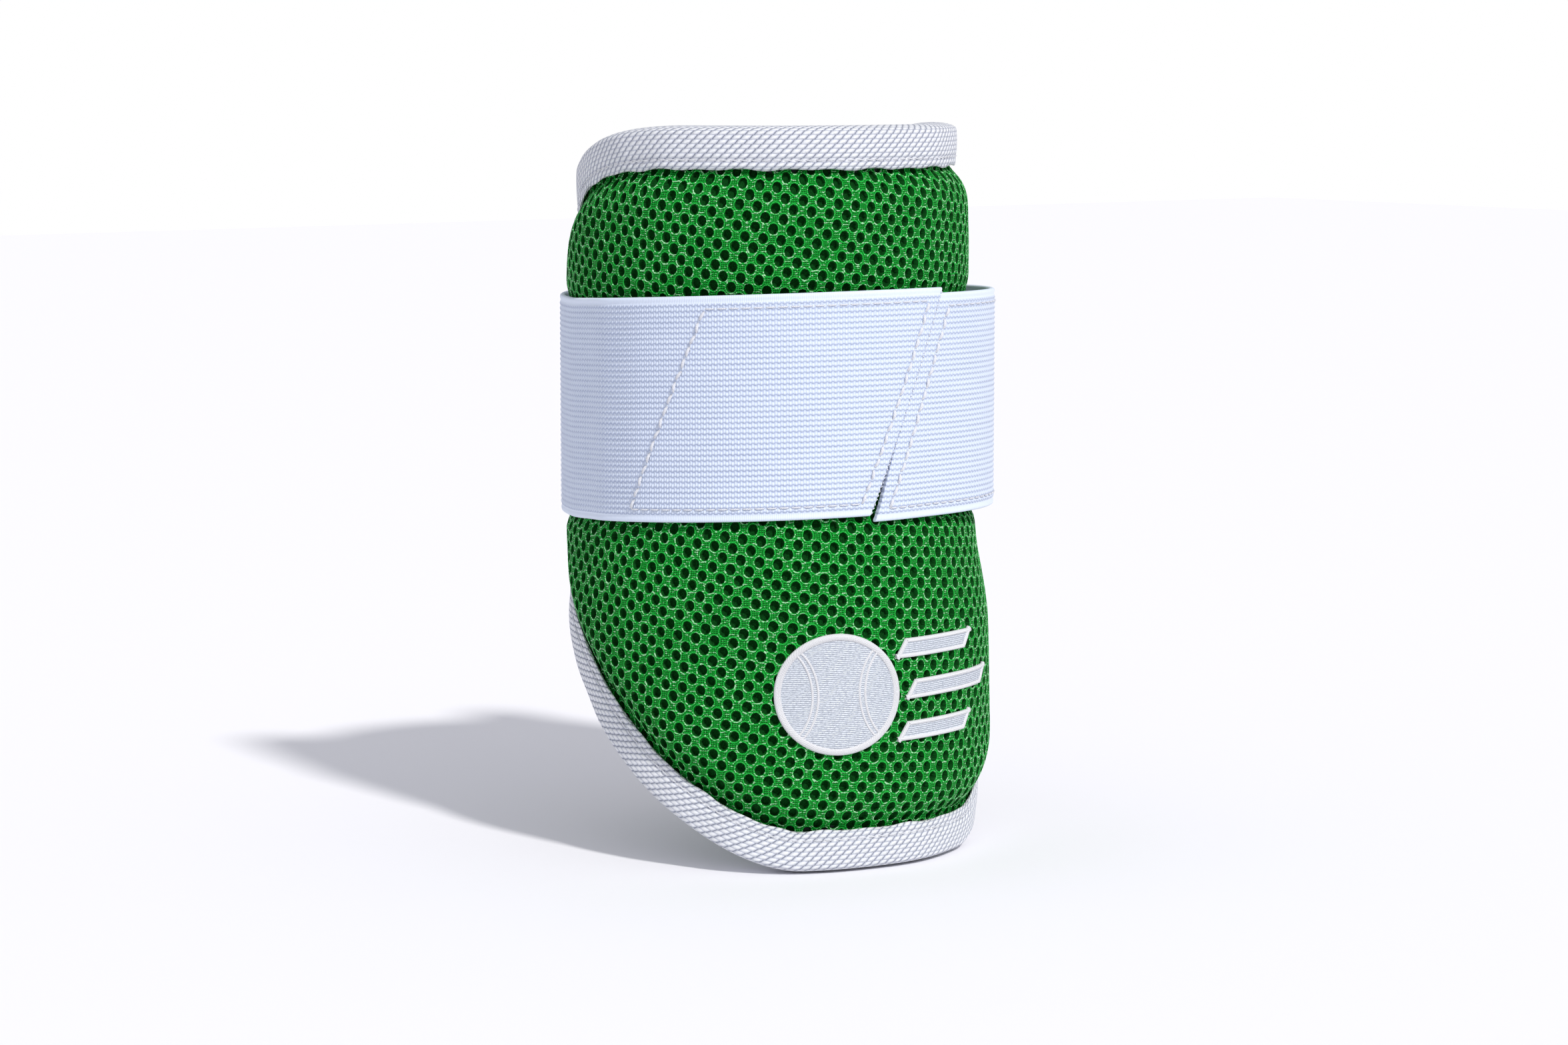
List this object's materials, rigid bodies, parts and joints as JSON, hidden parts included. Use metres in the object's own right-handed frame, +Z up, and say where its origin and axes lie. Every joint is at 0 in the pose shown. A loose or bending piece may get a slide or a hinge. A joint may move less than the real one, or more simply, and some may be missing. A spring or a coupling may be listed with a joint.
{
  "type": "elbow guard",
  "caption": "Batter's elbow guard: padded C-shaped shell in green air mesh with white edge binding and a wide white elastic strap closed on the front.",
  "frame": {"origin": "on the arm's axis, at the lower end of the guard, where the arm mount is", "axes": "+Z up the arm, from the forearm end to the upper arm end; -Y is the front of the guard; the back is open towards +Y"},
  "size_m": [0.1431, 0.1426, 0.2318],
  "materials": {
    "air_mesh": "green spacer mesh with open holes",
    "soft_foam": "closed-cell foam",
    "impact_foam": "dense closed-cell foam",
    "plate": "moulded polyethylene",
    "lining": "brushed knit",
    "binding_tape": "woven polyester tape",
    "elastic": "ribbed knitted elastic",
    "hook": "hook tape",
    "loop": "brushed loop tape",
    "thread": "sewing thread",
    "embroidery": "satin stitch"
  },
  "bodies": {
    "guard": {"outer_mesh_cover": "air_mesh", "outer_foam": "soft_foam", "hard_plate": "plate", "impact_foam": "impact_foam", "inner_lining": "lining", "edge_binding": "binding_tape", "binding_stitching": "thread", "loop_panel": "loop", "emblem_ball": "embroidery", "emblem_ball_rim": "embroidery", "emblem_bar_upper": "embroidery", "emblem_bar_middle": "embroidery", "emblem_bar_lower": "embroidery", "strap_right_side": "elastic"},
    "strap_run": {"strap_back_run": "elastic"},
    "left_tab": {"strap_left_tab": "elastic", "hook_patch_left": "hook", "patch_stitching_left": "thread"},
    "right_tab": {"strap_right_tab": "elastic", "hook_patch_right": "hook", "patch_stitching_right": "thread"}
  },
  "joints": [
    {"name": "left_tab_peel", "type": "hinge", "parent": "strap_run", "child": "left_tab", "pos_m": [-0.06635, 0.0058, 0.142], "axis": [0, 0, -1], "range_deg": [0, 125]},
    {"name": "strap_swing", "type": "hinge", "parent": "guard", "child": "strap_run", "pos_m": [0.06859, 0.02229, 0.142], "axis": [0, 0, -1], "range_deg": [0, 45]},
    {"name": "right_tab_peel", "type": "hinge", "parent": "guard", "child": "right_tab", "pos_m": [0.07255, -0.00507, 0.142], "axis": [0, 0, 1], "range_deg": [0, 110]}
  ],
  "couplings": [
    {"joint": "strap_swing", "follows": "left_tab_peel", "ratio": 0.36}
  ]
}
